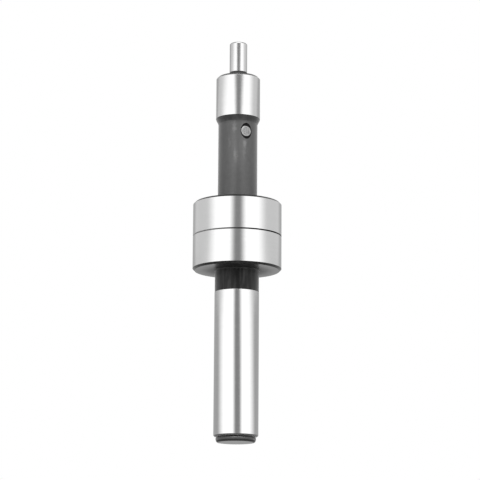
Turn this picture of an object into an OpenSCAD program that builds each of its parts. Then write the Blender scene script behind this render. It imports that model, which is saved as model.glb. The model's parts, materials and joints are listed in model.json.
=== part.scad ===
// Mechanical edge finder: a touch probe for finding the edge of a workpiece from a turning spindle.
// The shank half and the probe half meet on a lapped face in the middle of a round disc. A tension
// spring inside pulls them together, so the probe slides sideways and turns on that face.
// Millimetres. +Z runs from the end plug to the tip, with the origin in the middle of the plug's outer face.

/* [Shank] */
// Diameter of the ground shank
shank_d = 10; // [9:0.1:14]
// Length of the ground shank
shank_len = 32.5; // [28:0.1:60]
// Diameter of the unground neck between the shank and the disc
shank_neck_d = 9.9; // [8.5:0.1:9.9]
// Length of that neck
shank_neck_len = 4.8; // [3:0.1:12]
// Chamfer at the shank's end
shank_chamfer = 0.25; // [0.1:0.05:0.6]

/* [Disc] */
// Diameter of the disc
disc_d = 20; // [16:0.5:30]
// Thickness of the disc half on the shank
shank_disc_len = 7.8; // [4:0.1:12]
// Thickness of the disc half on the probe
probe_disc_len = 7.7; // [4:0.1:12]
// Chamfer at the disc's two outer rims
disc_chamfer = 0.45; // [0.1:0.05:0.8]
// Chamfer of each half beside the lapped face
split_chamfer = 0.1; // [0.05:0.05:0.3]

/* [Probe] */
// Diameter of the unground neck between the disc and the head
neck_d = 8.9; // [8:0.1:9.9]
// Length of that neck
neck_len = 18.4; // [12:0.1:30]
// Length of the flare from the neck out to the head
flare_len = 1.1; // [0.5:0.1:3]
// Diameter of the ground head
head_d = 10; // [9:0.1:14]
// Length of the ground head
head_len = 10; // [5:0.1:16]
// Chamfer at the head's upper rim
head_chamfer = 0.5; // [0.1:0.05:0.8]
// Diameter of the measuring tip
tip_d = 4; // [3:0.1:6]
// Length of the measuring tip
tip_len = 8.1; // [5:0.1:14]
// Chamfer at the tip's end
tip_chamfer = 0.2; // [0.1:0.05:0.6]
// Fillet in the corners where a neck or the tip meets a wider face
corner_r = 0.3; // [0.1:0.05:0.4]

/* [Cross pin] */
// Diameter of the pin across the probe's neck
cross_pin_d = 2.4; // [1.6:0.1:2.6]
// Distance from the pin's axis up to the foot of the flare
cross_pin_drop = 2.4; // [2:0.1:6]
// How far each end of the pin lies under the neck's surface
cross_pin_recess = 0.15; // [0.1:0.05:0.6]
// Diameter of the countersink round each end of the pin, at the neck's crown
countersink_d = 3.7; // [3:0.1:4]
// Included angle of the countersink, that of a twist drill's point
countersink_angle = 135; // [90:1:140]

/* [End plug] */
// Diameter of the plug's flange
plug_d = 9; // [8:0.1:9.6]
// Thickness of the flange
plug_len = 1.3; // [1:0.1:3]
// Rounding of the flange's outer rim
plug_round = 0.4; // [0.1:0.05:0.7]
// Chamfer of the flange beside the shank
plug_chamfer = 0.25; // [0.1:0.05:0.4]
// Length of the spigot inside the shank
spigot_len = 5; // [4:0.1:10]
// Diameter of the bore in the spigot
spigot_bore_d = 4.2; // [3.8:0.1:4.6]
// Diameter of the pin across the spigot
plug_pin_d = 1.2; // [0.8:0.1:1.6]
// Distance from the shank's end face to that pin's axis
plug_pin_rise = 2; // [1.8:0.1:3]

/* [Spring] */
// Outer diameter of the coils
spring_d = 3.4; // [2.8:0.1:3.6]
// Diameter of the wire
wire_d = 0.5; // [0.4:0.05:0.6]
// Number of coils
spring_coils = 40; // [20:1:42]
// Distance from coil to coil, stretched as fitted
spring_pitch = 0.95; // [0.95:0.01:1]
// How far the probe slides to either side of the axis
slide_travel = 1.5; // [0.5:0.1:1.6]

/* [Fits] */
// Radial clearance of each pin in its hole
pin_clearance = 0.02; // [0.01:0.01:0.05]
// Radial clearance of the plug's spigot in the shank
spigot_clearance = 0.05; // [0.02:0.01:0.1]
// Clearance of the spring's hooks round their pins
hook_clearance = 0.08; // [0.05:0.01:0.15]
// Least clearance of the leaning spring in the shank's bore
spring_clearance = 0.15; // [0.1:0.01:0.3]

/* [Hidden] */
$fn = 96;
overrun = 0.5; // how far a cut runs past the surface it opens
mouth_chamfer = 0.2; // chamfer at both mouths of the shank's bore and at the probe's
drill_angle = 118; // included angle at the bottom of the probe's blind bore
plug_pin_recess = 0.1; // how far the plug pin's ends lie inside the spigot
spigot_chamfer = 0.2; // lead-in chamfer at the spigot's inner end
hook_floor_gap = 0.4; // space between the lower hook and the bottom of the spigot's bore
pin_edge = 0.08; // broken edge at each end of both pins
arc_steps = 6; // straight pieces in a quarter of a small fillet or round

// Heights along the axis
shank_z = plug_len;
shank_neck_z = shank_z + shank_len;
disc_z = shank_neck_z + shank_neck_len;
lap_z = disc_z + shank_disc_len;
neck_z = lap_z + probe_disc_len;
flare_z = neck_z + neck_len;
head_z = flare_z + flare_len;
tip_z = head_z + head_len;
total_len = tip_z + tip_len;
cross_pin_z = flare_z - cross_pin_drop;
plug_pin_z = shank_z + plug_pin_rise;
pin_span = cross_pin_z - plug_pin_z;

// The bore leaves room for the spring where it leans furthest, at the shank's mouth
spring_shift = slide_travel * (lap_z - plug_pin_z) / pin_span;
bore_r = spring_d / 2 + spring_shift + spring_clearance;
drill_tip = bore_r / tan(drill_angle / 2);
bore_end_z = cross_pin_z + cross_pin_d / 2;
spigot_r = bore_r - spigot_clearance;
spigot_z = shank_z + spigot_len;
hook_drop = hook_clearance + wire_d + hook_floor_gap;
spigot_floor_z = plug_pin_z - plug_pin_d / 2 - hook_drop;

// The spring's middle line: radii of the coils and hooks, and where the stack of coils lies
wire_r = wire_d / 2;
coil_r = spring_d / 2 - wire_r;
upper_hook_r = cross_pin_d / 2 + hook_clearance + wire_r;
lower_hook_r = plug_pin_d / 2 + hook_clearance + wire_r;
bend_share = 1.2; // radius of the bend into a stem, as a share of the wire's diameter
bend_r = bend_share * wire_d;
stack_len = spring_coils * spring_pitch;
stack_z = (plug_pin_z + cross_pin_z - stack_len) / 2;
coil_rings = 8;
hook_rings = 10;
bend_rings = 3;
wire_sides = 6;
hook_turn = 225; // how far each hook goes round its pin, in degrees
stem_turn = 180; // direction from the axis to the side of the spring that carries the stems

function unit(v) = v / norm(v);

// Points of a quarter round about a corner's centre [x, y], from one angle to another
function arc(x, y, r, from, to) =
    [for (i = [0 : arc_steps]) let (a = from + (to - from) * i / arc_steps) [x + r * cos(a), y + r * sin(a)]];

// A turned outline, as [radius, height] points, spun about the axis
module turned(outline) {
    rotate_extrude() polygon(outline);
}

// A hole or pin along Y through the axis at a height, reaching the same way to both sides
module across(z, r, reach) {
    translate([0, 0, z]) rotate([90, 0, 0]) cylinder(h = 2 * reach, r = r, center = true);
}

// A round pin along Y with its edges broken at both ends
module pin_across(z, r, reach) {
    translate([0, 0, z]) rotate([90, 0, 0]) rotate_extrude() polygon([
        [0, -reach], [r - pin_edge, -reach], [r, pin_edge - reach],
        [r, reach - pin_edge], [r - pin_edge, reach], [0, reach]
    ]);
}

// Ground shank, unground neck and lower disc half, turned in one piece and bored right through
module shank_body() {
    color("silver") turned(concat(
        [[bore_r + mouth_chamfer, shank_z], [shank_d / 2 - shank_chamfer, shank_z]],
        [[shank_d / 2, shank_z + shank_chamfer], [shank_d / 2, shank_neck_z]],
        [[shank_neck_d / 2, shank_neck_z]],
        arc(shank_neck_d / 2 + corner_r, disc_z - corner_r, corner_r, 180, 90),
        [[disc_d / 2 - disc_chamfer, disc_z], [disc_d / 2, disc_z + disc_chamfer]],
        [[disc_d / 2, lap_z - split_chamfer], [disc_d / 2 - split_chamfer, lap_z]],
        [[bore_r + mouth_chamfer, lap_z], [bore_r, lap_z - mouth_chamfer]],
        [[bore_r, shank_z + mouth_chamfer]]
    ));
}

// Black plug that closes the shank: a flange outside, and a hollow spigot inside with a hole for its pin
module end_plug() {
    color("dimgray") difference() {
        turned(concat(
            [[0, 0]],
            arc(plug_d / 2 - plug_round, plug_round, plug_round, -90, 0),
            [[plug_d / 2, plug_len - plug_chamfer], [plug_d / 2 - plug_chamfer, plug_len]],
            [[spigot_r, plug_len], [spigot_r, spigot_z - spigot_chamfer]],
            [[spigot_r - spigot_chamfer, spigot_z], [spigot_bore_d / 2, spigot_z]],
            [[spigot_bore_d / 2, spigot_floor_z], [0, spigot_floor_z]]
        ));
        across(plug_pin_z, plug_pin_d / 2 + pin_clearance, spigot_r + overrun);
    }
}

// Pin across the spigot that holds the spring's lower hook; the shank's bore keeps it in
module plug_pin() {
    color("lightsteelblue") pin_across(plug_pin_z, plug_pin_d / 2, spigot_r - plug_pin_recess);
}

// Upper disc half, unground neck, flare, ground head and ground tip, turned in one piece with a blind bore
module probe_body() {
    hole_r = cross_pin_d / 2 + pin_clearance;
    sink_r = countersink_d / 2;
    sink_slope = tan(countersink_angle / 2);
    sink_depth = (sink_r - hole_r) / sink_slope;
    color("silver") difference() {
        turned(concat(
            [[bore_r + mouth_chamfer, lap_z], [disc_d / 2 - split_chamfer, lap_z]],
            [[disc_d / 2, lap_z + split_chamfer], [disc_d / 2, neck_z - disc_chamfer]],
            [[disc_d / 2 - disc_chamfer, neck_z]],
            arc(neck_d / 2 + corner_r, neck_z + corner_r, corner_r, 270, 180),
            [[neck_d / 2, flare_z], [head_d / 2, head_z]],
            [[head_d / 2, tip_z - head_chamfer], [head_d / 2 - head_chamfer, tip_z]],
            arc(tip_d / 2 + corner_r, tip_z + corner_r, corner_r, 270, 180),
            [[tip_d / 2, total_len - tip_chamfer], [tip_d / 2 - tip_chamfer, total_len], [0, total_len]],
            [[0, bore_end_z + drill_tip], [bore_r, bore_end_z], [bore_r, lap_z + mouth_chamfer]]
        ));
        across(cross_pin_z, hole_r, neck_d / 2 + overrun);
        for (side = [-1, 1])
            translate([0, side * (neck_d / 2 + overrun), cross_pin_z]) rotate([side * 90, 0, 0])
                cylinder(h = sink_depth + overrun, r1 = sink_r + overrun * sink_slope, r2 = hole_r);
    }
}

// Pin across the probe's neck that holds the spring's upper hook; its ends show in the countersinks
module cross_pin() {
    color("gainsboro") pin_across(cross_pin_z, cross_pin_d / 2, neck_d / 2 - cross_pin_recess);
}

// The wire's route, each entry a point of the middle line and the direction outwards from what it bends round
function hook(z, r, from, to) =
    [for (i = [0 : hook_rings]) let (a = from + (to - from) * i / hook_rings, out = [cos(a), 0, sin(a)])
        [[0, 0, z] + r * out, out]];

// A quarter bend beside the coils, which brings an upright stem into the level coil or back out of it
function bend(z, side) =
    [for (i = [1 : bend_rings]) let (a = 90 * i / (bend_rings + 1), turn = side < 0 ? a : 90 - a)
        [[-coil_r, -side * bend_r * (1 - sin(turn)), z + side * bend_r * (1 - cos(turn))], [-1, 0, 0]]];

function coils() =
    [for (i = [0 : spring_coils * coil_rings])
        let (a = stem_turn + 360 * i / coil_rings, out = [cos(a), sin(a), 0])
        [coil_r * out + [0, 0, stack_z + spring_pitch * i / coil_rings], out]];

spring_route = concat(
    hook(plug_pin_z, lower_hook_r, stem_turn + hook_turn, stem_turn),
    [[[-coil_r, bend_r, stack_z - bend_r], [-1, 0, 0]]],
    bend(stack_z, -1),
    coils(),
    bend(stack_z + stack_len, 1),
    [[[-coil_r, -bend_r, stack_z + stack_len + bend_r], [-1, 0, 0]]],
    hook(cross_pin_z, upper_hook_r, stem_turn, stem_turn - hook_turn)
);

// One ring of the wire, square to the way from the point before to the point after
function wire_ring(i) =
    let (last = len(spring_route) - 1,
        along = unit(spring_route[min(i + 1, last)][0] - spring_route[max(i - 1, 0)][0]),
        out = unit(spring_route[i][1] - (spring_route[i][1] * along) * along),
        beside = cross(along, out))
    [for (k = [0 : wire_sides - 1]) let (a = 360 * k / wire_sides)
        spring_route[i][0] + wire_r * (cos(a) * out + sin(a) * beside)];

// A closed tube over rings of points, with each four-sided piece cut into two triangles
module tube(rings) {
    last = len(rings) - 1;
    n = len(rings[0]);
    sides = [for (i = [0 : last - 1], k = [0 : n - 1]) let (a = i * n + k, b = i * n + (k + 1) % n)
        each [[a, b, a + n], [b, b + n, a + n]]];
    ends = [for (k = [1 : n - 2]) each [[0, k + 1, k], [last * n, last * n + k, last * n + k + 1]]];
    polyhedron([for (ring = rings) each ring], concat(sides, ends), convexity = 10);
}

// Tension spring from pin to pin, drawn as it is stretched in the closed probe
module tension_spring() {
    color("slategray") tube([for (i = [0 : len(spring_route) - 1]) wire_ring(i)]);
}

// Least gap between neighbouring turns, from each point to those between half a turn and a turn and a half on
coil_points = [for (entry = coils()) entry[0]];
turn_gaps = [for (i = [0 : len(coil_points) - 1], k = [coil_rings / 2 : 3 * coil_rings / 2])
    if (i + k < len(coil_points)) norm(coil_points[i + k] - coil_points[i]) - wire_d];
echo(least_gap_between_turns = min(turn_gaps), bore_diameter = 2 * bore_r, length = total_len);
echo(pin_span = pin_span, spring_lean_degrees = asin(slide_travel / pin_span));

shank_body();
end_plug();
plug_pin();
tension_spring();
probe_body();
cross_pin();
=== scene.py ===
"""Looks of a mechanical edge finder, the plain kind of touch probe.

A ground shank and a ground probe meet on a lapped face in the middle of a disc. A black plug closes the
shank's end, and the end of a cross pin shows in the probe's neck. Where the two halves were left unground,
they keep the black scale of their hardening. Sizes are in millimetres, and a mesh is brought to metres
when it is made.
"""

import json
import math

import bmesh
import bpy
from mathutils import Matrix, Vector


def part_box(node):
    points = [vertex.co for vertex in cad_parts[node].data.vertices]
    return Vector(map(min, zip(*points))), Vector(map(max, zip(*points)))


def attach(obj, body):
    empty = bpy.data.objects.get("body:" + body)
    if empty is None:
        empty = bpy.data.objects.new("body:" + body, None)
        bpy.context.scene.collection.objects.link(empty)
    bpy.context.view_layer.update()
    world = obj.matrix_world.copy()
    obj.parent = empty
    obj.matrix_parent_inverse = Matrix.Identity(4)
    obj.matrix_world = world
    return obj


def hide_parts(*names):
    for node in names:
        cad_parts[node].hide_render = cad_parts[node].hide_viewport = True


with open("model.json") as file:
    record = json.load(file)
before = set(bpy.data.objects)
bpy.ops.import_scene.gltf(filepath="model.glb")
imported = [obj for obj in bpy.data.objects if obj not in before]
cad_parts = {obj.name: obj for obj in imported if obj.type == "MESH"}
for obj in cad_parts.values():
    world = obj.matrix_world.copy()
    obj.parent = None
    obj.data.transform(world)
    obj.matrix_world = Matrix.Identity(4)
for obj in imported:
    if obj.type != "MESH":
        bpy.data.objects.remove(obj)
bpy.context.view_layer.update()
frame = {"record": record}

MM = 0.001


# Sizes

def extent(node):
    """Lowest and highest corner of a CAD node, in millimetres."""
    low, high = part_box(node)
    return low / MM, high / MM


def mount(name):
    """Radius of a round mount and the heights of its two ends, in millimetres."""
    found = next(m for m in frame["record"]["mounts"] if m["name"] == name)
    middle = found["pos_m"][2] / MM
    half = found["dims"]["length_mm"] / 2
    return found["dims"]["r_mm"], middle - half, middle + half


shank_low, shank_high = extent("shank_body")
plug_low, plug_high = extent("end_plug")
probe_low, probe_high = extent("probe_body")
cross_pin_low, cross_pin_high = extent("cross_pin")
plug_pin_low, plug_pin_high = extent("plug_pin")
spring_low, spring_high = extent("tension_spring")

CORNER = 0.3  # fillet where a neck or the tip meets a wider face
SHANK_CHAMFER = 0.25
DISC_CHAMFER = 0.45
SPLIT_CHAMFER = 0.16  # wider than the solids' 0.1, for the weight of the split line in the photograph
HEAD_CHAMFER = 0.5
TIP_CHAMFER = 0.2
MOUTH_CHAMFER = 0.2  # at both mouths of the shank's bore and at the probe's
EDGE = 0.04  # rounding that tumbling leaves on an edge
GRIND_STEP = 0.02  # how far a grinding cut stands under the scale beside it

shank_r, shank_edge_z, disc_fillet_z = mount("shank")
head_r, head_z, head_edge_z = mount("head")
tip_r, tip_fillet_z, tip_edge_z = mount("tip")
shank_z = shank_low.z
lap_z = shank_high.z
disc_r = shank_high.x
disc_z = disc_fillet_z + CORNER
top_z = probe_high.z
tip_z = head_edge_z + HEAD_CHAMFER

SHANK_NECK_R = 4.95
SHANK_NECK_LEN = 4.8
PROBE_DISC_LEN = 7.7
NECK_R = 4.45
FLARE_LEN = 1.1
TIP_ROOT_LEN = 1.2  # of the tip, above the head, that the grinding wheel didn't reach
GRIND_SHORT = 0.15  # how far short of the edge of the flare and of the shank's neck the wheel stopped

neck_z = lap_z + PROBE_DISC_LEN
flare_z = head_z - FLARE_LEN

cross_pin_z = (cross_pin_low.z + cross_pin_high.z) / 2
cross_pin_r = cross_pin_high.x
cross_pin_reach = cross_pin_high.y
plug_pin_z = (plug_pin_low.z + plug_pin_high.z) / 2
plug_pin_r = plug_pin_high.x
plug_pin_reach = plug_pin_high.y

PIN_CLEARANCE = 0.02
SINK_R = 1.85  # radius of the countersink round the cross pin, at the neck's crown
SINK_ANGLE = math.radians(135)
SPIGOT_CLEARANCE = 0.05
PLUG_PIN_RECESS = 0.1
spigot_r = plug_pin_reach + PLUG_PIN_RECESS
bore_r = spigot_r + SPIGOT_CLEARANCE
bore_end_z = cross_pin_high.z
DRILL_ANGLE = math.radians(118)

LAP_GAP = 0.005  # keeps the two lapped faces out of one plane
CUT_OVERRUN = 0.5  # how far a cutter stands out of what it cuts
PLUG_ROUND = 0.4
PLUG_CHAMFER = 0.25
PLUG_CROWN = 0.12  # how much the flange swells between its edges
CROWN_RINGS = 4  # on each half of the swollen flange
SPIGOT_BORE_R = 2.1
SPIGOT_CHAMFER = 0.2
SPIGOT_FLOOR = 0.98  # from the bottom of the spigot's bore to the plug pin
plug_r = plug_high.x

WIRE = 0.5
COILS = 40
PITCH = 0.95
HOOK_CLEARANCE = 0.08
HOOK_TURN = 225  # how far each hook goes round its pin, in degrees

STEPS_ROUND = 256  # straight pieces round a turned body
PIN_STEPS_ROUND = 96
ARC_STEP = math.radians(15)  # most that an arc turns from one ring to the next
SHARP_ANGLE = math.radians(38)
BESIDE_SHARE = 0.3  # most of a stretch that the ring beside an arc takes up
PIN_RING_STEP = 0.1  # between the rings of the neck beside the cross pin's hole
PIN_RINGS = 20  # of these on either side of the hole's middle


# Nodes

def add(tree, kind, inputs=None, **settings):
    """Adds a node to a tree, sets its properties and fills its inputs, by name or number, with values or
    links."""
    made = tree.nodes.new(kind)
    for name, value in settings.items():
        setattr(made, name, value)
    for key, value in (inputs or {}).items():
        if isinstance(value, bpy.types.Node):
            value = value.outputs[0]
        if isinstance(value, bpy.types.NodeSocket):
            tree.links.new(value, made.inputs[key])
        else:
            made.inputs[key].default_value = value
    return made


def linear(code):
    """The linear colour of an sRGB hex value, a # and six digits."""
    shares = [int(code[i:i + 2], 16) / 255 for i in (1, 3, 5)]
    return [s / 12.92 if s <= 0.04045 else ((s + 0.055) / 1.055) ** 2.4 for s in shares] + [1.0]


# Materials

WAVE_SCALE = math.pi / 10  # scale of a wave texture with its bands 1 mm apart


def steel(name, look, bloom=0.0, **levels):
    """A material of bare or blackened steel. look adds its pattern and returns what drives colour,
    roughness and bump, and how high the bump is in millimetres. Patterns are placed in millimetres. bloom
    is how much of a dusty bloom lies on it, which makes a dark finish paler towards its outline, and
    levels are look's own."""
    material = bpy.data.materials.new(name)
    material.use_nodes = True
    tree = material.node_tree
    tree.nodes.clear()
    place = add(tree, "ShaderNodeTexCoord")
    place = add(tree, "ShaderNodeVectorMath", {0: place.outputs["Object"], "Scale": 1 / MM},
                operation="SCALE")
    colour, roughness, height, depth = look(tree, place, **levels)
    bump = add(tree, "ShaderNodeBump", {"Height": height, "Distance": depth * MM, "Strength": 1.0})
    surface = add(tree, "ShaderNodeBsdfPrincipled", {
        "Base Color": colour, "Metallic": 1.0, "Roughness": roughness, "Normal": bump,
        "Sheen Weight": bloom, "Sheen Roughness": 0.46,
    })
    add(tree, "ShaderNodeOutputMaterial", {"Surface": surface})
    return material


def ground(tree, place):
    """Hardened tool steel, ground between centres with a fine wheel: a bright, slightly soft mirror with
    faint lines round the axis. The real lines are some 0.02 mm apart, too fine to show, and are drawn 0.1
    mm apart."""
    line_long, line_apart = 9, 0.1
    band_long, band_apart = 14, 0.8
    lines = add(tree, "ShaderNodeVectorMath", {0: place, 1: (1 / line_long, 1 / line_long, 1 / line_apart)},
                operation="MULTIPLY")
    lines = add(tree, "ShaderNodeTexNoise", {"Vector": lines, "Scale": 1.0, "Detail": 3.0, "Roughness": 0.6})
    bands = add(tree, "ShaderNodeVectorMath", {0: place, 1: (1 / band_long, 1 / band_long, 1 / band_apart)},
                operation="MULTIPLY")
    bands = add(tree, "ShaderNodeTexNoise", {"Vector": bands, "Scale": 1.0, "Detail": 2.0})
    colour = add(tree, "ShaderNodeMix", {"Factor": lines, 6: linear("#C6C6C6"), 7: linear("#D0D0D0")},
                 data_type="RGBA")
    roughness = add(tree, "ShaderNodeMapRange", {"Value": bands, "To Min": 0.07, "To Max": 0.13})
    return colour.outputs[2], roughness, lines, 0.0012


# Paler marks on the upper part of the neck, by direction, height, half their width and length, and strength
RUB_MARKS = (
    (-36, 70.7, 0.5, 1.2, 0.3), (-32, 64.4, 0.5, 1.8, 0.3), (-4, 67.0, 0.5, 1.0, 0.45),
    (-7, 65.0, 0.45, 1.6, 0.15), (-51, 67.3, 0.3, 1.9, 0.15), (-26, 66, 1.9, 5.5, 0.08),
)


def burnished_scale(tree, place):
    """Scale of hardening on turned steel, rubbed by handling: a dull dark grey that is mottled over a
    millimetre or so and streaked upright, with a few paler marks where it is rubbed nearly through. Just
    under the head it is darker, a painted shade where the head's rim shades the neck."""
    handled_from, handled_to = 58, 64
    shade_under_head_from, shade_under_head_to = 72.4, 73.9
    streak_wide, streak_long = 0.5, 3.5
    mottle = add(tree, "ShaderNodeTexNoise", {
        "Vector": place, "Scale": 1 / 0.9, "Detail": 5.0, "Roughness": 0.6,
    })
    along = add(tree, "ShaderNodeVectorMath", {
        0: place, 1: (1 / streak_wide, 1 / streak_wide, 1 / streak_long),
    }, operation="MULTIPLY")
    streaks = add(tree, "ShaderNodeTexNoise", {"Vector": along, "Scale": 1.0, "Detail": 2.0})
    z = add(tree, "ShaderNodeSeparateXYZ", {0: place}).outputs["Z"]
    handled = add(tree, "ShaderNodeMapRange", {"Value": z, "From Min": handled_from, "From Max": handled_to},
                  interpolation_type="SMOOTHSTEP")
    paler_share = add(tree, "ShaderNodeMath", {0: streaks, 1: handled}, operation="MULTIPLY")
    paler_share = add(tree, "ShaderNodeMath", {0: paler_share, 1: 0.12}, operation="MULTIPLY")
    ragged = add(tree, "ShaderNodeTexNoise", {
        "Vector": place, "Scale": 1 / 0.7, "Detail": 3.0, "Roughness": 0.7,
    })
    ragged = add(tree, "ShaderNodeVectorMath", {0: ragged.outputs["Color"], 1: (0.5, 0.5, 0.5)},
                 operation="SUBTRACT")
    ragged = add(tree, "ShaderNodeVectorMath", {0: ragged, 1: (1.6, 1.6, 1.6), 2: place},
                 operation="MULTIPLY_ADD")
    for azimuth, mark_z, half_wide, half_long, strength in RUB_MARKS:
        turn = math.radians(azimuth)
        centre = (NECK_R * math.sin(turn), -NECK_R * math.cos(turn), mark_z)
        away = add(tree, "ShaderNodeVectorMath", {0: ragged, 1: centre}, operation="SUBTRACT")
        away = add(tree, "ShaderNodeVectorMath", {0: away, 1: (1 / half_wide, 1 / half_wide, 1 / half_long)},
                   operation="MULTIPLY")
        away = add(tree, "ShaderNodeVectorMath", {0: away}, operation="LENGTH").outputs["Value"]
        mark = add(tree, "ShaderNodeMapRange", {
            "Value": away, "From Min": 1.3, "From Max": 0.2, "To Max": strength,
        }, interpolation_type="SMOOTHSTEP")
        paler_share = add(tree, "ShaderNodeMath", {0: mark, 1: paler_share}, operation="ADD")
    reach = add(tree, "ShaderNodeMath", {0: mottle, 1: 1.2, 2: z}, operation="MULTIPLY_ADD")
    # Painted shade: darker just under the head, where its rim shades the neck.
    shade_under_head = add(tree, "ShaderNodeMapRange", {
        "Value": reach, "From Min": shade_under_head_from, "From Max": shade_under_head_to,
    }, interpolation_type="SMOOTHSTEP")
    colour = add(tree, "ShaderNodeMix", {"Factor": mottle, 6: linear("#4B4B4B"), 7: linear("#595959")},
                 data_type="RGBA")
    colour = add(tree, "ShaderNodeMix", {"Factor": paler_share, 6: colour.outputs[2], 7: linear("#848484")},
                 data_type="RGBA")
    colour = add(tree, "ShaderNodeMix", {"Factor": shade_under_head, 6: colour.outputs[2], 7: linear("#383838")},
                 data_type="RGBA")
    roughness = add(tree, "ShaderNodeMapRange", {"Value": mottle, "To Min": 0.42, "To Max": 0.32})
    return colour.outputs[2], roughness, mottle, 0.008


def black_scale(tree, place):
    """The same scale where little has rubbed it: nearly black, with the lathe tool's feed lines round the
    axis, 0.2 mm apart, a fine grain and faint upright streaks."""
    feed = add(tree, "ShaderNodeTexWave", {
        "Vector": place, "Scale": WAVE_SCALE / 0.2, "Distortion": 1.2, "Detail": 2.0, "Detail Scale": 0.7,
    }, bands_direction="Z")
    grain = add(tree, "ShaderNodeTexNoise", {
        "Vector": place, "Scale": 1 / 0.5, "Detail": 4.0, "Roughness": 0.6,
    })
    height = add(tree, "ShaderNodeMath", {0: feed, 1: grain}, operation="ADD")
    streak_wide, streak_long = 0.6, 5
    streaks = add(tree, "ShaderNodeVectorMath", {
        0: place, 1: (1 / streak_wide, 1 / streak_wide, 1 / streak_long),
    }, operation="MULTIPLY")
    streaks = add(tree, "ShaderNodeTexNoise", {
        "Vector": streaks, "Scale": 1.0, "Detail": 3.0, "Roughness": 0.6,
    })
    streaks = add(tree, "ShaderNodeMapRange", {"Value": streaks, "From Min": 0.42, "From Max": 0.68},
                  interpolation_type="SMOOTHSTEP")
    colour = add(tree, "ShaderNodeMix", {"Factor": grain, 6: linear("#1F1F1F"), 7: linear("#262626")},
                 data_type="RGBA")
    colour = add(tree, "ShaderNodeMix", {"Factor": streaks, 6: colour.outputs[2], 7: linear("#343434")},
                 data_type="RGBA")
    roughness = add(tree, "ShaderNodeMapRange", {"Value": grain, "To Min": 0.3, "To Max": 0.4})
    return colour.outputs[2], roughness, height, 0.003


def faced_scale(tree, place):
    """The scale on the disc's two faces: dull beside the neck and rubbed smoother towards the rim, with the
    facing tool's rings, 0.25 mm apart. Its colour is a painted shade, black beside the neck and paler towards
    the rim."""
    paler_from, paler_to = 4.8, 10.4
    rings = add(tree, "ShaderNodeTexWave", {
        "Vector": place, "Scale": WAVE_SCALE / 0.25, "Distortion": 0.4, "Detail": 2.0,
    }, wave_type="RINGS", rings_direction="Z")
    flat = add(tree, "ShaderNodeVectorMath", {0: place, 1: (1, 1, 0)}, operation="MULTIPLY")
    reach = add(tree, "ShaderNodeVectorMath", {0: flat}, operation="LENGTH").outputs["Value"]
    cloud = add(tree, "ShaderNodeTexNoise", {
        "Vector": place, "Scale": 1 / 1.6, "Detail": 4.0, "Roughness": 0.6,
    })
    reach = add(tree, "ShaderNodeMath", {0: cloud, 1: 2.0, 2: reach}, operation="MULTIPLY_ADD")
    # Painted shade: black beside the neck, where the neck shades the face, and paler towards the rim, where
    # the scale is also rubbed smoother.
    paler_share = add(tree, "ShaderNodeMapRange", {
        "Value": reach, "From Min": paler_from, "From Max": paler_to,
    }, interpolation_type="SMOOTHSTEP")
    colour = add(tree, "ShaderNodeMix", {"Factor": paler_share, 6: linear("#333333"), 7: linear("#6C6C6C")},
                 data_type="RGBA")
    roughness = add(tree, "ShaderNodeMapRange", {"Value": paler_share, "To Min": 0.5, "To Max": 0.3})
    return colour.outputs[2], roughness, rings, 0.002


def black_oxide(tree, place, dark, pale):
    """Turned steel, hot blacked and oiled: a satin black with fine turning lines, 0.12 mm apart."""
    feed = add(tree, "ShaderNodeTexWave", {
        "Vector": place, "Scale": WAVE_SCALE / 0.12, "Distortion": 0.8, "Detail": 2.0,
    }, bands_direction="Z")
    grain = add(tree, "ShaderNodeTexNoise", {
        "Vector": place, "Scale": 1 / 0.35, "Detail": 4.0, "Roughness": 0.6,
    })
    height = add(tree, "ShaderNodeMath", {0: feed, 1: grain}, operation="ADD")
    colour = add(tree, "ShaderNodeMix", {"Factor": grain, 6: linear(dark), 7: linear(pale)}, data_type="RGBA")
    roughness = add(tree, "ShaderNodeMapRange", {"Value": grain, "To Min": 0.38, "To Max": 0.5})
    return colour.outputs[2], roughness, height, 0.002


def countersink_shade(tree, place):
    """Painted shade in the countersinks round the cross pin: matt black with a grain, put where they lie in
    shade.
    """
    speckle = add(tree, "ShaderNodeTexNoise", {"Vector": place, "Scale": 1 / 0.2, "Detail": 3.0})
    colour = add(tree, "ShaderNodeMix", {"Factor": speckle, 6: linear("#1A1A1A"), 7: linear("#262626")},
                 data_type="RGBA")
    roughness = add(tree, "ShaderNodeMapRange", {"Value": speckle, "To Min": 0.6, "To Max": 0.75})
    return colour.outputs[2], roughness, speckle, 0.01


def painted_seam(tree, place):
    """The small chamfers on either side of the lapped face: near black, a painted shade, and pale towards one
    side, a painted lit edge.
    """
    # Painted light: from painted shade to a painted lit edge along this side.
    lit_side = (-0.9, 0.44, 0)
    lit_from, lit_to = -2.0, 8.5
    lit_share = add(tree, "ShaderNodeVectorMath", {0: place, 1: lit_side}, operation="DOT_PRODUCT")
    patches = add(tree, "ShaderNodeTexNoise", {"Vector": place, "Scale": 1 / 1.5, "Detail": 3.0})
    lit_share = add(tree, "ShaderNodeMath", {0: patches, 1: 3.0, 2: lit_share.outputs["Value"]},
                operation="MULTIPLY_ADD")
    lit_share = add(tree, "ShaderNodeMapRange", {"Value": lit_share, "From Min": lit_from, "From Max": lit_to},
                interpolation_type="SMOOTHSTEP")
    colour = add(tree, "ShaderNodeMix", {"Factor": lit_share, 6: linear("#1A1A1A"), 7: linear("#A8A8A8")},
                 data_type="RGBA")
    return colour.outputs[2], 0.4, patches, 0.004


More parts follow.
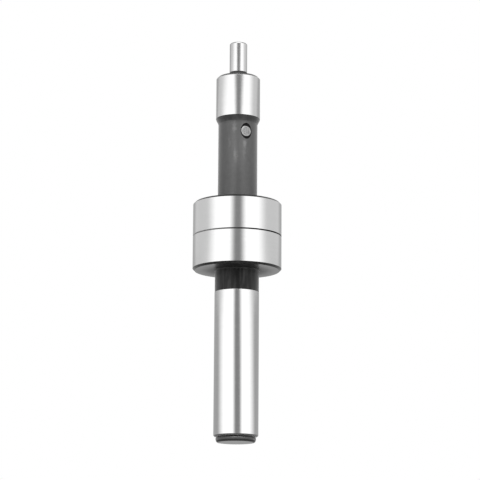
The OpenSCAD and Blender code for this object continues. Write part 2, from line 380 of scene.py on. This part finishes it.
def cropped(tree, place, dark="#707070", pale="#A0A0A0"):
    """The end of a dowel pin, cropped and tumbled: matt grey steel with small pits and torn spots, some
    0.3 mm."""
    spots = add(tree, "ShaderNodeTexNoise", {
        "Vector": place, "Scale": 1 / 0.34, "Detail": 4.0, "Roughness": 0.65,
    })
    spots = add(tree, "ShaderNodeMapRange", {"Value": spots, "From Min": 0.3, "From Max": 0.7})
    colour = add(tree, "ShaderNodeMix", {"Factor": spots, 6: linear(dark), 7: linear(pale)}, data_type="RGBA")
    roughness = add(tree, "ShaderNodeMapRange", {"Value": spots, "To Min": 0.55, "To Max": 0.4})
    return colour.outputs[2], roughness, spots, 0.02


def lapped(tree, place):
    """Lapped on a flat plate with fine grit: even matt steel with hair scratches in all directions. The
    real ones are a few thousandths of a millimetre wide, and are drawn 0.06 mm wide."""
    hair_wide, hair_long = 0.06, 2.5
    height = 0.0
    for turn in (0.3, 1.4, 2.4):
        hairs = add(tree, "ShaderNodeVectorRotate", {"Vector": place, "Angle": turn}, rotation_type="Z_AXIS")
        hairs = add(tree, "ShaderNodeVectorMath", {
            0: hairs, 1: (1 / hair_wide, 1 / hair_long, 1 / hair_long),
        }, operation="MULTIPLY")
        hairs = add(tree, "ShaderNodeTexNoise", {"Vector": hairs, "Scale": 1.0, "Detail": 2.0})
        height = add(tree, "ShaderNodeMath", {0: hairs, 1: height}, operation="ADD")
    colour = add(tree, "ShaderNodeMix", {"Factor": hairs, 6: linear("#B1B1B1"), 7: linear("#BDBDBD")},
                 data_type="RGBA")
    roughness = add(tree, "ShaderNodeMapRange", {"Value": hairs, "To Min": 0.3, "To Max": 0.38})
    return colour.outputs[2], roughness, height, 0.001


def bored(tree, place):
    """The drilled and reamed inside: dull steel with a tool's feed lines round the axis, 0.3 mm apart."""
    feed = add(tree, "ShaderNodeTexWave", {
        "Vector": place, "Scale": WAVE_SCALE / 0.3, "Distortion": 2.0, "Detail": 3.0,
    }, bands_direction="Z")
    haze = add(tree, "ShaderNodeTexNoise", {"Vector": place, "Scale": 1 / 2.0, "Detail": 3.0})
    colour = add(tree, "ShaderNodeMix", {"Factor": haze, 6: linear("#7F7F7F"), 7: linear("#989898")},
                 data_type="RGBA")
    roughness = add(tree, "ShaderNodeMapRange", {"Value": feed, "To Min": 0.35, "To Max": 0.45})
    return colour.outputs[2], roughness, feed, 0.004


def drawn_wire(tree, place):
    """Music wire, cold drawn and left with its lubricant's film: an even dull grey with faint cloudiness."""
    film = add(tree, "ShaderNodeTexNoise", {"Vector": place, "Scale": 1 / 0.8, "Detail": 3.0})
    draw = add(tree, "ShaderNodeTexNoise", {"Vector": place, "Scale": 1 / 0.08, "Detail": 2.0})
    colour = add(tree, "ShaderNodeMix", {"Factor": film, 6: linear("#6C6C6C"), 7: linear("#828282")},
                 data_type="RGBA")
    roughness = add(tree, "ShaderNodeMapRange", {"Value": film, "To Min": 0.3, "To Max": 0.42})
    return colour.outputs[2], roughness, draw, 0.001


GROUND = steel("ground_tool_steel", ground)
# Its darker band just under the head is a painted shade.
BURNISHED = steel("burnished_hardening_scale", burnished_scale, bloom=0.5)
BLACK = steel("black_hardening_scale", black_scale, bloom=0.45)
CHAMFER = steel("black_scale_on_a_chamfer", black_scale, bloom=0.2)
# Painted shade: the disc's faces are black beside the neck and paler towards the rim.
FACE = steel("scale_on_a_turned_face_with_painted_shade_by_the_neck", faced_scale)
# Painted shade: the countersinks round the cross pin made matt black.
COUNTERSINK_SHADE = steel("painted_shade_in_a_countersink", countersink_shade)
# Painted shade with a painted lit edge: the chamfers of the split, near black and pale on one side.
PAINTED_SEAM = steel("painted_shade_and_lit_edge_in_the_seam", painted_seam)
OXIDE = steel("oiled_black_oxide", black_oxide, bloom=0.4, dark="#4C4C4C", pale="#5A5A5A")
# Painted shade: a darker copy of the plug's oxide, on its bottom rounding.
OXIDE_PAINTED_SHADE = steel("black_oxide_with_painted_shade", black_oxide, dark="#323232", pale="#3C3C3C")
# Painted light: a paler copy of the plug's oxide, on its end face, which faces the light from below.
OXIDE_PAINTED_LIGHT = steel("black_oxide_painted_paler_as_lit_from_below", black_oxide, dark="#8E8E8E", pale="#A6A6A6")
CROPPED = steel("cropped_dowel_end", cropped)
TUMBLED = steel("tumbled_dowel_edge", cropped, dark="#949494", pale="#B2B2B2")
LAPPED = steel("lapped_tool_steel", lapped)
BORED = steel("bored_steel", bored)
WIRE_STEEL = steel("drawn_music_wire", drawn_wire)


# Turned pieces

def rounded(corners, closed=False):
    """Rings of a turned outline. A corner is (radius, height, rounding, finish of the stretch that
    follows), and a ring is (radius, height, finish). An arc takes the place of a rounded corner, with a
    ring close to each of its ends, which keeps the shading of the stretches beside it true."""
    rings = []
    count = len(corners)
    for i, (r, z, rounding, finish) in enumerate(corners):
        here = Vector((r, z))
        if rounding == 0:
            rings.append((r, z, finish))
            continue
        before = Vector(corners[i - 1][:2])
        after = Vector(corners[(i + 1) % count][:2])
        into = (here - before).normalized()
        out = (after - here).normalized()
        turn = into.angle_signed(out)
        reach = rounding * math.tan(abs(turn) / 2)
        beside = min(EDGE, BESIDE_SHARE * (here - before).length, BESIDE_SHARE * (after - here).length)
        side = Vector((into.y, -into.x)) * math.copysign(rounding, turn)
        centre = here - reach * into + side
        steps = max(2, math.ceil(abs(turn) / ARC_STEP))
        points = [here - (reach + beside) * into]
        for k in range(steps + 1):
            points.append(centre + Matrix.Rotation(-turn * k / steps, 2) @ -side)
        points.append(here + (reach + beside) * out)
        earlier = corners[i - 1][3]
        for k, point in enumerate(points):
            rings.append((point.x, point.y, earlier if k < len(points) / 2 - 1 else finish))
    if closed:
        rings.append(rings[0])
    return rings


def turning_tree(finishes):
    """Geometry Nodes that spin a chain of points about Z. The chain's points carry the number of the
    finish that follows them. The grid's rows are the chain, turned a step at a time."""
    tree = bpy.data.node_groups.new("turned_on_a_lathe", "GeometryNodeTree")
    face = tree.interface
    face.new_socket("Outline", in_out="INPUT", socket_type="NodeSocketGeometry")
    face.new_socket("Steps round the axis", in_out="INPUT", socket_type="NodeSocketInt")
    for material in finishes:
        face.new_socket(material.name, in_out="INPUT", socket_type="NodeSocketMaterial")
    face.new_socket("Piece", in_out="OUTPUT", socket_type="NodeSocketGeometry")
    given = add(tree, "NodeGroupInput").outputs
    size = add(tree, "GeometryNodeAttributeDomainSize", {0: given["Outline"]})
    turns = add(tree, "FunctionNodeIntegerMath", {0: given["Steps round the axis"], 1: 1}, operation="ADD")
    grid = add(tree, "GeometryNodeMeshGrid", {"Vertices X": turns, "Vertices Y": size})
    index = add(tree, "GeometryNodeInputIndex")
    ring = add(tree, "FunctionNodeIntegerMath", {0: index, 1: size}, operation="MODULO")
    turn = add(tree, "FunctionNodeIntegerMath", {0: index, 1: size}, operation="DIVIDE_FLOOR")
    where = add(tree, "GeometryNodeInputPosition")
    point = add(tree, "GeometryNodeSampleIndex", {
        "Geometry": given["Outline"], "Value": where, "Index": ring,
    }, data_type="FLOAT_VECTOR", domain="POINT")
    step = add(tree, "ShaderNodeMath", {0: 2 * math.pi, 1: given["Steps round the axis"]}, operation="DIVIDE")
    angle = add(tree, "ShaderNodeMath", {0: turn, 1: step}, operation="MULTIPLY")
    spun = add(tree, "ShaderNodeVectorRotate", {"Vector": point, "Angle": angle}, rotation_type="Z_AXIS")
    shape = add(tree, "GeometryNodeSetPosition", {"Geometry": grid, "Position": spun})
    stretches = add(tree, "FunctionNodeIntegerMath", {0: size, 1: 1}, operation="SUBTRACT")
    stretch = add(tree, "FunctionNodeIntegerMath", {0: index, 1: stretches}, operation="MODULO")
    number = add(tree, "GeometryNodeInputNamedAttribute", {"Name": "finish"}, data_type="INT")
    finish = add(tree, "GeometryNodeSampleIndex", {
        "Geometry": given["Outline"], "Value": number, "Index": stretch,
    }, data_type="INT", domain="POINT")
    shape = add(tree, "GeometryNodeStoreNamedAttribute", {
        "Geometry": shape, "Name": "finish", "Value": finish,
    }, data_type="INT", domain="FACE")
    shape = add(tree, "GeometryNodeMergeByDistance", {"Geometry": shape, "Distance": 1e-4 * MM})
    shape = add(tree, "GeometryNodeRealizeInstances", {"Geometry": shape})
    for i, material in enumerate(finishes):
        chosen = add(tree, "FunctionNodeCompare", {
            2: add(tree, "GeometryNodeInputNamedAttribute", {"Name": "finish"}, data_type="INT"), 3: i,
        }, data_type="INT", operation="GREATER_EQUAL")
        shape = add(tree, "GeometryNodeSetMaterial", {
            "Geometry": shape, "Selection": chosen, "Material": given[material.name],
        })
    add(tree, "NodeGroupOutput", {0: shape})
    return tree


def run_tree(name, mesh, tree, values):
    """Runs a Geometry Nodes tree on a mesh, with its inputs by name, and returns the result as a plain
    object."""
    piece = bpy.data.objects.new(name, mesh)
    bpy.context.scene.collection.objects.link(piece)
    modifier = piece.modifiers.new(tree.name, "NODES")
    modifier.node_group = tree
    for socket in tree.interface.items_tree:
        if socket.name in values:
            modifier[socket.identifier] = values[socket.name]
    return plain(piece)


def plain(piece):
    """Turns what a piece's modifiers make of it into its own mesh, and takes the modifiers off."""
    depsgraph = bpy.context.evaluated_depsgraph_get()
    result = bpy.data.meshes.new_from_object(piece.evaluated_get(depsgraph), depsgraph=depsgraph)
    result.name = piece.name
    piece.modifiers.clear()
    piece.data = result
    return piece


def faced_out(piece):
    """Points every face of a closed piece outwards."""
    shape = bmesh.new()
    shape.from_mesh(piece.data)
    bmesh.ops.recalc_face_normals(shape, faces=shape.faces)
    shape.to_mesh(piece.data)
    shape.free()


def shaded(piece):
    """Smooth shading that breaks at sharp edges."""
    piece.data.shade_smooth()
    piece.data.set_sharp_from_angle(angle=SHARP_ANGLE)


def turned(name, rings, steps=STEPS_ROUND, along_y=None):
    """A turned piece from the rings of its outline. With along_y it lies along Y through the axis, at that
    height."""
    finishes = list(dict.fromkeys(ring[2] for ring in rings))
    outline = bpy.data.meshes.new(name)
    outline.from_pydata(
        [(r * MM, 0, z * MM) for r, z, _ in rings],
        [(i, i + 1) for i in range(len(rings) - 1)], [],
    )
    numbers = outline.attributes.new("finish", "INT", "POINT")
    numbers.data.foreach_set("value", [finishes.index(finish) for _, _, finish in rings])
    values = {material.name: material for material in finishes}
    values["Steps round the axis"] = steps
    piece = run_tree(name, outline, turning_tree(finishes), values)
    if along_y is not None:
        lying = Matrix.Rotation(math.pi / 2, 4, "X")
        piece.data.transform(Matrix.Translation((0, 0, along_y * MM)) @ lying)
    faced_out(piece)
    shaded(piece)
    return piece


def cut(piece, cutter):
    """Cuts one closed piece out of another. The cut faces keep the cutter's finish."""
    modifier = piece.modifiers.new("cut", "BOOLEAN")
    modifier.operation = "DIFFERENCE"
    modifier.solver = "EXACT"
    modifier.material_mode = "TRANSFER"
    modifier.object = cutter
    plain(piece)
    bpy.data.objects.remove(cutter)
    shaded(piece)


def finished(piece, body, slot, *nodes):
    """Puts a finished piece on its body and in place of its CAD nodes. The slot is not used."""
    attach(piece, body)
    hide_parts(*nodes)


def make_shank():
    """Ground shank, black neck and the lower half of the disc, bored right through."""
    neck_z_low = disc_z - SHANK_NECK_LEN
    mouth_r = bore_r + MOUTH_CHAMFER
    return turned("shank_half", rounded([
        (mouth_r, shank_z, EDGE, OXIDE),
        (shank_r - SHANK_CHAMFER, shank_z, EDGE, OXIDE),
        (shank_r, shank_z + SHANK_CHAMFER, EDGE, GROUND),
        (shank_r, neck_z_low - GRIND_SHORT, GRIND_STEP, BLACK),
        (SHANK_NECK_R, neck_z_low - GRIND_SHORT + GRIND_STEP, 0, BLACK),
        (SHANK_NECK_R, disc_z, CORNER, FACE),
        (disc_r - DISC_CHAMFER, disc_z, EDGE, CHAMFER),
        (disc_r, disc_z + DISC_CHAMFER, 0, GROUND),
        # The split's chamfers take the painted shade and lit edge.
        (disc_r, lap_z - SPLIT_CHAMFER, 0, PAINTED_SEAM),
        (disc_r - SPLIT_CHAMFER, lap_z, EDGE, LAPPED),
        (mouth_r, lap_z, EDGE, BORED),
        (bore_r, lap_z - MOUTH_CHAMFER, EDGE, BORED),
        (bore_r, shank_z + MOUTH_CHAMFER, EDGE, BORED),
    ], closed=True))


def make_probe():
    """Upper half of the disc, neck, flare, ground head and ground tip, with a blind bore and the pin's
    hole."""
    drill_tip = bore_r / math.tan(DRILL_ANGLE / 2)
    ground_tip_z = tip_z + TIP_ROOT_LEN
    face_z = lap_z + LAP_GAP
    round_pin = [
        (NECK_R, cross_pin_z + PIN_RING_STEP * k, 0, BURNISHED) for k in range(-PIN_RINGS, PIN_RINGS + 1)
    ]
    probe = turned("probe_half", rounded([
        (0, bore_end_z + drill_tip, 0, BORED),
        (bore_r, bore_end_z, EDGE, BORED),
        (bore_r, face_z + MOUTH_CHAMFER, EDGE, BORED),
        (bore_r + MOUTH_CHAMFER, face_z, EDGE, LAPPED),
        # The split's chamfers take the painted shade and lit edge.
        (disc_r - SPLIT_CHAMFER, face_z, EDGE, PAINTED_SEAM),
        (disc_r, face_z + SPLIT_CHAMFER, 0, GROUND),
        (disc_r, neck_z - DISC_CHAMFER, 0, CHAMFER),
        (disc_r - DISC_CHAMFER, neck_z, EDGE, FACE),
        (NECK_R, neck_z, CORNER, BURNISHED),
        *round_pin,
        (NECK_R, flare_z, 4 * EDGE, BURNISHED),
        (head_r - GRIND_STEP, head_z, 0, BLACK),
        (head_r - GRIND_STEP, head_z + GRIND_SHORT, 0, BLACK),
        (head_r, head_z + GRIND_SHORT, 0, GROUND),
        (head_r, head_edge_z, EDGE, BURNISHED),
        (head_r - HEAD_CHAMFER, tip_z, EDGE, BLACK),
        (tip_r, tip_z, CORNER, BURNISHED),
        (tip_r, ground_tip_z, 0, GROUND),
        (tip_r, tip_edge_z, 4 * EDGE, GROUND),
        (tip_r - TIP_CHAMFER, top_z, 2 * EDGE, GROUND),
        (0, top_z, 0, GROUND),
    ]))
    hole_r = cross_pin_r + PIN_CLEARANCE
    outside = NECK_R + CUT_OVERRUN
    sink_slope = math.tan(SINK_ANGLE / 2)
    sink_end = NECK_R - (SINK_R - hole_r) / sink_slope
    sink_mouth_r = SINK_R + CUT_OVERRUN * sink_slope
    # The countersinks carry the painted shade, and the hole's wall the bored finish.
    cut(probe, turned("cross_hole", [
        (0, -outside, COUNTERSINK_SHADE), (sink_mouth_r, -outside, COUNTERSINK_SHADE), (hole_r, -sink_end, BORED),
        (hole_r, sink_end, COUNTERSINK_SHADE), (sink_mouth_r, outside, COUNTERSINK_SHADE), (0, outside, COUNTERSINK_SHADE),
    ], steps=PIN_STEPS_ROUND, along_y=cross_pin_z))
    return probe


def make_plug():
    """Black end plug: a slightly swollen flange outside, and inside a hollow spigot with a hole for its
    pin."""
    low = PLUG_ROUND
    high = shank_z - PLUG_CHAMFER
    middle = (low + high) / 2
    crowned = []
    for k in range(-CROWN_RINGS, CROWN_RINGS + 1):
        share = k / CROWN_RINGS
        crowned.append((plug_r - PLUG_CROWN * share ** 2, middle + share * (high - low) / 2, 0, OXIDE))
    floor_z = plug_pin_z - plug_pin_r - SPIGOT_FLOOR
    plug = turned("plug", rounded([
        # The end face takes the paler copy of the oxide, painted light from below.
        (0, 0, 0, OXIDE_PAINTED_LIGHT),
        # The bottom rounding takes the darker copy of the oxide, a painted shade.
        (plug_r - PLUG_CROWN - PLUG_ROUND - 2 * EDGE, 0, 0, OXIDE_PAINTED_SHADE),
        (plug_r - PLUG_CROWN, 0, PLUG_ROUND, OXIDE_PAINTED_SHADE),
        *crowned,
        (plug_r - PLUG_CROWN - PLUG_CHAMFER, shank_z, EDGE, OXIDE),
        (spigot_r, shank_z, 0, OXIDE),
        (spigot_r, plug_high.z - SPIGOT_CHAMFER, EDGE, OXIDE),
        (spigot_r - SPIGOT_CHAMFER, plug_high.z, EDGE, OXIDE),
        (SPIGOT_BORE_R, plug_high.z, EDGE, OXIDE),
        (SPIGOT_BORE_R, floor_z, 2 * EDGE, OXIDE),
        (0, floor_z, 0, OXIDE),
    ]))
    hole_r = plug_pin_r + PIN_CLEARANCE
    reach = spigot_r + CUT_OVERRUN
    cut(plug, turned("spigot_hole", [
        (0, -reach, OXIDE), (hole_r, -reach, OXIDE), (hole_r, reach, OXIDE), (0, reach, OXIDE),
    ], steps=PIN_STEPS_ROUND, along_y=plug_pin_z))
    return plug


def make_pin(name, r, reach, z):
    """Dowel pin along Y, with a slightly domed end and a tumbled edge."""
    dome = 0.03
    edge = 0.1
    inner_r, inner_drop = 0.4 * r, 0.2 * dome
    outer_r, outer_drop = 0.8 * r, 0.65 * dome
    return turned(name, rounded([
        (0, -reach, 0, CROPPED),
        (inner_r, -reach + inner_drop, 0, CROPPED),
        (outer_r, -reach + outer_drop, 0, TUMBLED),
        (r, -reach + dome, edge, GROUND),
        (r, reach - dome, edge, TUMBLED),
        (outer_r, reach - outer_drop, 0, CROPPED),
        (inner_r, reach - inner_drop, 0, CROPPED),
        (0, reach, 0, CROPPED),
    ]), steps=PIN_STEPS_ROUND, along_y=z)


# Spring

def spring_route():
    """The middle line of the wire, from the end of the lower hook up to the end of the upper one."""
    coil_r = spring_high.y - WIRE / 2
    lower_r = plug_pin_r + HOOK_CLEARANCE + WIRE / 2
    upper_r = cross_pin_r + HOOK_CLEARANCE + WIRE / 2
    bend_r = 1.2 * WIRE
    length = COILS * PITCH
    low = (plug_pin_z + cross_pin_z - length) / 2
    high = low + length
    hook_steps = 24
    bend_steps = 5
    coil_steps = 20
    points = []
    for k in range(hook_steps + 1):
        a = math.radians(180 + HOOK_TURN * (1 - k / hook_steps))
        points.append((lower_r * math.cos(a), 0, plug_pin_z + lower_r * math.sin(a)))
    for k in range(bend_steps):
        a = math.pi / 2 * k / bend_steps
        points.append((-coil_r, bend_r * (1 - math.sin(a)), low - bend_r * (1 - math.cos(math.pi / 2 - a))))
    for k in range(COILS * coil_steps + 1):
        a = math.pi + 2 * math.pi * k / coil_steps
        points.append((coil_r * math.cos(a), coil_r * math.sin(a), low + PITCH * k / coil_steps))
    for k in range(1, bend_steps + 1):
        a = math.pi / 2 * (1 - k / bend_steps)
        points.append((-coil_r, -bend_r * (1 - math.sin(a)), high + bend_r * (1 - math.cos(math.pi / 2 - a))))
    for k in range(hook_steps + 1):
        a = math.radians(180 - HOOK_TURN * k / hook_steps)
        points.append((upper_r * math.cos(a), 0, cross_pin_z + upper_r * math.sin(a)))
    return points


def wire_tree():
    """Geometry Nodes that sweep a round wire along a route."""
    tree = bpy.data.node_groups.new("wire_along_a_route", "GeometryNodeTree")
    face = tree.interface
    face.new_socket("Route", in_out="INPUT", socket_type="NodeSocketGeometry")
    face.new_socket("Wire radius", in_out="INPUT", socket_type="NodeSocketFloat")
    face.new_socket("Sides", in_out="INPUT", socket_type="NodeSocketInt")
    face.new_socket("Wire steel", in_out="INPUT", socket_type="NodeSocketMaterial")
    face.new_socket("Wire", in_out="OUTPUT", socket_type="NodeSocketGeometry")
    given = add(tree, "NodeGroupInput").outputs
    route = add(tree, "GeometryNodeMeshToCurve", {0: given["Route"]})
    section = add(tree, "GeometryNodeCurvePrimitiveCircle", {
        "Resolution": given["Sides"], "Radius": given["Wire radius"],
    }, mode="RADIUS")
    wire = add(tree, "GeometryNodeCurveToMesh", {
        "Curve": route, "Profile Curve": section.outputs["Curve"], "Fill Caps": True,
    })
    wire = add(tree, "GeometryNodeRealizeInstances", {"Geometry": wire})
    wire = add(tree, "GeometryNodeSetMaterial", {"Geometry": wire, "Material": given["Wire steel"]})
    add(tree, "NodeGroupOutput", {0: wire})
    return tree


def make_spring():
    """The tension spring, hooked on both pins."""
    points = spring_route()
    route = bpy.data.meshes.new("spring_route")
    route.from_pydata([Vector(p) * MM for p in points], [(i, i + 1) for i in range(len(points) - 1)], [])
    spring = run_tree("spring", route, wire_tree(), {
        "Wire radius": WIRE / 2 * MM, "Sides": 12, "Wire steel": WIRE_STEEL,
    })
    faced_out(spring)
    shaded(spring)
    return spring


finished(make_shank(), "shank", "ground_steel", "shank_body")
finished(make_plug(), "plug", "black_oxide", "end_plug")
hidden_pin = make_pin("plug_cross_pin", plug_pin_r, plug_pin_reach, plug_pin_z)
finished(hidden_pin, "plug", "pin_steel", "plug_pin")
finished(make_spring(), "spring", "spring_wire", "tension_spring")
finished(make_probe(), "probe", "ground_steel", "probe_body")
shown_pin = make_pin("neck_cross_pin", cross_pin_r, cross_pin_reach, cross_pin_z)
finished(shown_pin, "probe", "pin_steel", "cross_pin")


# Camera, as it stood for the photograph, a little below the tool

CAMERA_AZIMUTH = math.radians(-25.7)
CAMERA_ELEVATION = math.radians(-11.58)
CAMERA_DISTANCE = 454.3
CAMERA_LENS = 151.1
CAMERA_ROLL = math.radians(0.387)
CAMERA_ASIDE = 0.64  # how far the camera stands to its right
AIM_Z = 45.7


def make_camera():
    """The camera, turned about the tool's axis, lowered, set aside and rolled as the photograph shows."""
    back = Vector((
        math.sin(CAMERA_AZIMUTH) * math.cos(CAMERA_ELEVATION),
        -math.cos(CAMERA_AZIMUTH) * math.cos(CAMERA_ELEVATION),
        math.sin(CAMERA_ELEVATION),
    ))
    right = Vector((math.cos(CAMERA_AZIMUTH), math.sin(CAMERA_AZIMUTH), 0))
    data = bpy.data.cameras.new("camera")
    data.lens = CAMERA_LENS
    data.sensor_width = 36
    data.clip_start = 0.01
    data.clip_end = 20
    camera = bpy.data.objects.new("camera", data)
    bpy.context.scene.collection.objects.link(camera)
    camera.location = (Vector((0, 0, AIM_Z)) + CAMERA_DISTANCE * back + CAMERA_ASIDE * right) * MM
    level = (-back).to_track_quat("-Z", "Y").to_matrix()
    camera.rotation_euler = (level @ Matrix.Rotation(CAMERA_ROLL, 3, "Z")).to_euler()
    bpy.context.scene.camera = camera


# Studio

# What stands round the tool, by its angle to either side of the camera: the dark gap with the camera in it,
# a white panel, a grey flat and a darker room. Above the height of the panels hangs a lamp, and low in front
# lies a light. From the camera's height the ground lengths mirror neither, and the dull finishes show both.
GAP_LEVEL, PANEL_LEVEL, GREY_LEVEL, DARK_LEVEL = 0.35, 1.75, 0.91, 0.54
GAP_SOFT, DARK_SOFT = 10, 12  # half the width in degrees over which one level blends into the next

# Each entry is for the height in degrees that a part of the tool mirrors: the shank, the disc, the head, the
# tip, and elsewhere. It holds the middle of the gap, half its width, the middle of the rest, and from there
# the start of the grey flat, its softness and the start of the dark room.
STUDIO = {
    -90: (4, 16, 4, 80, 16, 120),
    4: (9, 17, 6.5, 85, 20, 104),
    6.2: (7.8, 17, 4.3, 85, 20, 104),
    8.1: (5.5, 17.3, 0.5, 85, 20, 102),
    10: (2.3, 17, -3, 86, 20, 102),
    10.8: (1.3, 13.3, -0.5, 68, 18, 141),
    14: (1.3, 13.3, -1.5, 69, 18, 138),
    15.3: (3.5, 12, -10, 84, 22, 124),
    16.7: (4, 25.5, 7, 68, 26, 125),
    20: (4, 25.5, 4, 68, 24, 120),
    90: (4, 16, 4, 80, 16, 120),
}
CURVE_SPAN = 180  # degrees that the height of a curve stands for
CURVE_BELOW = 20  # of these, the ones under zero

# Levels and, in degrees, where each light begins and has its full strength: heights, or angles beside the gap
UP_LEVEL, UP_HEIGHTS = 0.45, (17.5, 25)
DOWN_LEVEL, DOWN_HEIGHTS = 0.75, (4, -8)
LAMP_LEVEL = 4.5
LAMP_ASIDE, LAMP_FROM_BELOW, LAMP_FROM_ABOVE = (44, 28), (20, 30), (75, 50)
BOUNCE_LEVEL = 2.2
BOUNCE_BESIDE_GAP, BOUNCE_ASIDE = (4, 18), (44, 28)
BOUNCE_FROM_ABOVE, BOUNCE_FROM_BELOW = (0, -12), (-36, -22)


def make_studio():
    """The world's light: one level of white for each direction, and plain white to the camera."""
    world = bpy.data.worlds.new("studio")
    bpy.context.scene.world = world
    world.use_nodes = True
    tree = world.node_tree
    tree.nodes.clear()
    way = add(tree, "ShaderNodeTexCoord").outputs["Generated"]
    way = add(tree, "ShaderNodeVectorRotate", {"Vector": way, "Angle": -CAMERA_AZIMUTH},
              rotation_type="Z_AXIS")
    way = add(tree, "ShaderNodeSeparateXYZ", {0: way})
    height = add(tree, "ShaderNodeMath", {0: way.outputs["Z"]}, operation="ARCSINE")
    height = add(tree, "ShaderNodeMath", {0: height}, operation="DEGREES")
    share = add(tree, "ShaderNodeMapRange", {"Value": height, "From Min": -90, "From Max": 90})
    edges = []
    for column in range(6):
        curve = add(tree, "ShaderNodeFloatCurve", {"Value": share})
        points = curve.mapping.curves[0].points
        for angle, values in STUDIO.items():
            spot = ((angle + 90) / 180, (values[column] + CURVE_BELOW) / CURVE_SPAN)
            if angle == -90:
                points[0].location = spot
            elif angle == 90:
                points[-1].location = spot
            else:
                points.new(*spot)
        for point in points:
            point.handle_type = "AUTO_CLAMPED"
        curve.mapping.update()
        edges.append(add(tree, "ShaderNodeMath", {0: curve, 1: CURVE_SPAN, 2: -CURVE_BELOW},
                         operation="MULTIPLY_ADD"))
    ahead = add(tree, "ShaderNodeMath", {0: way.outputs["Y"], 1: -1}, operation="MULTIPLY")
    side = add(tree, "ShaderNodeMath", {0: way.outputs["X"], 1: ahead}, operation="ARCTAN2")
    side = add(tree, "ShaderNodeMath", {0: side}, operation="DEGREES")
    gap_middle, gap_half, middle, grey, grey_soft, dark = edges
    from_gap, from_middle = [
        add(tree, "ShaderNodeMath", {
            0: add(tree, "ShaderNodeMath", {0: side, 1: zero}, operation="SUBTRACT"),
        }, operation="ABSOLUTE") for zero in (gap_middle, middle)
    ]
    level = GAP_LEVEL
    for away, place, soft, change in (
        (from_gap, gap_half, GAP_SOFT, PANEL_LEVEL - GAP_LEVEL),
        (from_middle, grey, grey_soft, GREY_LEVEL - PANEL_LEVEL),
        (from_middle, dark, DARK_SOFT, DARK_LEVEL - GREY_LEVEL),
    ):
        start = add(tree, "ShaderNodeMath", {0: place, 1: soft}, operation="SUBTRACT")
        end = add(tree, "ShaderNodeMath", {0: place, 1: soft}, operation="ADD")
        change = add(tree, "ShaderNodeMapRange", {
            "Value": away, "From Min": start, "From Max": end, "To Max": change,
        }, interpolation_type="SMOOTHSTEP")
        level = add(tree, "ShaderNodeMath", {0: change, 1: level}, operation="ADD")
    for (start, end), plain_level in ((UP_HEIGHTS, UP_LEVEL), (DOWN_HEIGHTS, DOWN_LEVEL)):
        blend = add(tree, "ShaderNodeMapRange", {"Value": height, "From Min": start, "From Max": end},
                    interpolation_type="SMOOTHSTEP")
        level = add(tree, "ShaderNodeMix", {0: blend, 2: level, 3: plain_level}, data_type="FLOAT")
    for lamp_level, limits in (
        (LAMP_LEVEL, ((from_gap, LAMP_ASIDE), (height, LAMP_FROM_BELOW), (height, LAMP_FROM_ABOVE))),
        (BOUNCE_LEVEL, (
            (from_gap, BOUNCE_BESIDE_GAP), (from_gap, BOUNCE_ASIDE),
            (height, BOUNCE_FROM_ABOVE), (height, BOUNCE_FROM_BELOW),
        )),
    ):
        share = 1.0
        for value, (start, end) in limits:
            part = add(tree, "ShaderNodeMapRange", {"Value": value, "From Min": start, "From Max": end},
                       interpolation_type="SMOOTHSTEP")
            share = add(tree, "ShaderNodeMath", {0: part, 1: share}, operation="MULTIPLY")
        level = add(tree, "ShaderNodeMix", {0: share, 2: level, 3: lamp_level}, data_type="FLOAT")
    seen = add(tree, "ShaderNodeLightPath")
    level = add(tree, "ShaderNodeMix", {0: seen.outputs["Is Camera Ray"], 2: level, 3: 1.0},
                data_type="FLOAT")
    light = add(tree, "ShaderNodeBackground", {"Color": (1, 1, 1, 1), "Strength": level})
    add(tree, "ShaderNodeOutputWorld", {"Surface": light})


def make_floor():
    """A pale floor under the tool that fades into the white round it. It shows only from above, because
    the photograph looks up at the tool, and only to the camera, so that it takes no light from the tool."""
    half = 600
    drop = 0.03
    fade_from, fade_to = 0.08, 0.4  # in metres, as the texture has them
    corners = [(x * half * MM, y * half * MM, -drop * MM) for x, y in ((-1, -1), (1, -1), (1, 1), (-1, 1))]
    mesh = bpy.data.meshes.new("floor")
    mesh.from_pydata(corners, [], [(0, 1, 2, 3)])
    floor = bpy.data.objects.new("floor", mesh)
    bpy.context.scene.collection.objects.link(floor)
    material = bpy.data.materials.new("pale_floor")
    material.use_nodes = True
    tree = material.node_tree
    tree.nodes.clear()
    place = add(tree, "ShaderNodeTexCoord").outputs["Object"]
    away = add(tree, "ShaderNodeVectorMath", {0: place}, operation="LENGTH")
    fade = add(tree, "ShaderNodeMapRange", {
        "Value": away.outputs["Value"], "From Min": fade_from, "From Max": fade_to,
    }, interpolation_type="SMOOTHSTEP")
    paint = add(tree, "ShaderNodeBsdfDiffuse", {"Color": linear("#F2F2F2")})
    white = add(tree, "ShaderNodeEmission", {"Color": (1, 1, 1, 1), "Strength": 1.0})
    pale = add(tree, "ShaderNodeMixShader", {0: fade, 1: paint, 2: white})
    clear = add(tree, "ShaderNodeBsdfTransparent")
    seen = add(tree, "ShaderNodeLightPath").outputs["Is Camera Ray"]
    below = add(tree, "ShaderNodeNewGeometry").outputs["Backfacing"]
    shown = add(tree, "ShaderNodeMath", {0: seen, 1: below}, operation="GREATER_THAN")
    surface = add(tree, "ShaderNodeMixShader", {0: shown, 1: clear, 2: pale})
    add(tree, "ShaderNodeOutputMaterial", {"Surface": surface})
    mesh.materials.append(material)


make_camera()
make_studio()
make_floor()
bpy.context.scene.view_settings.view_transform = "Standard"
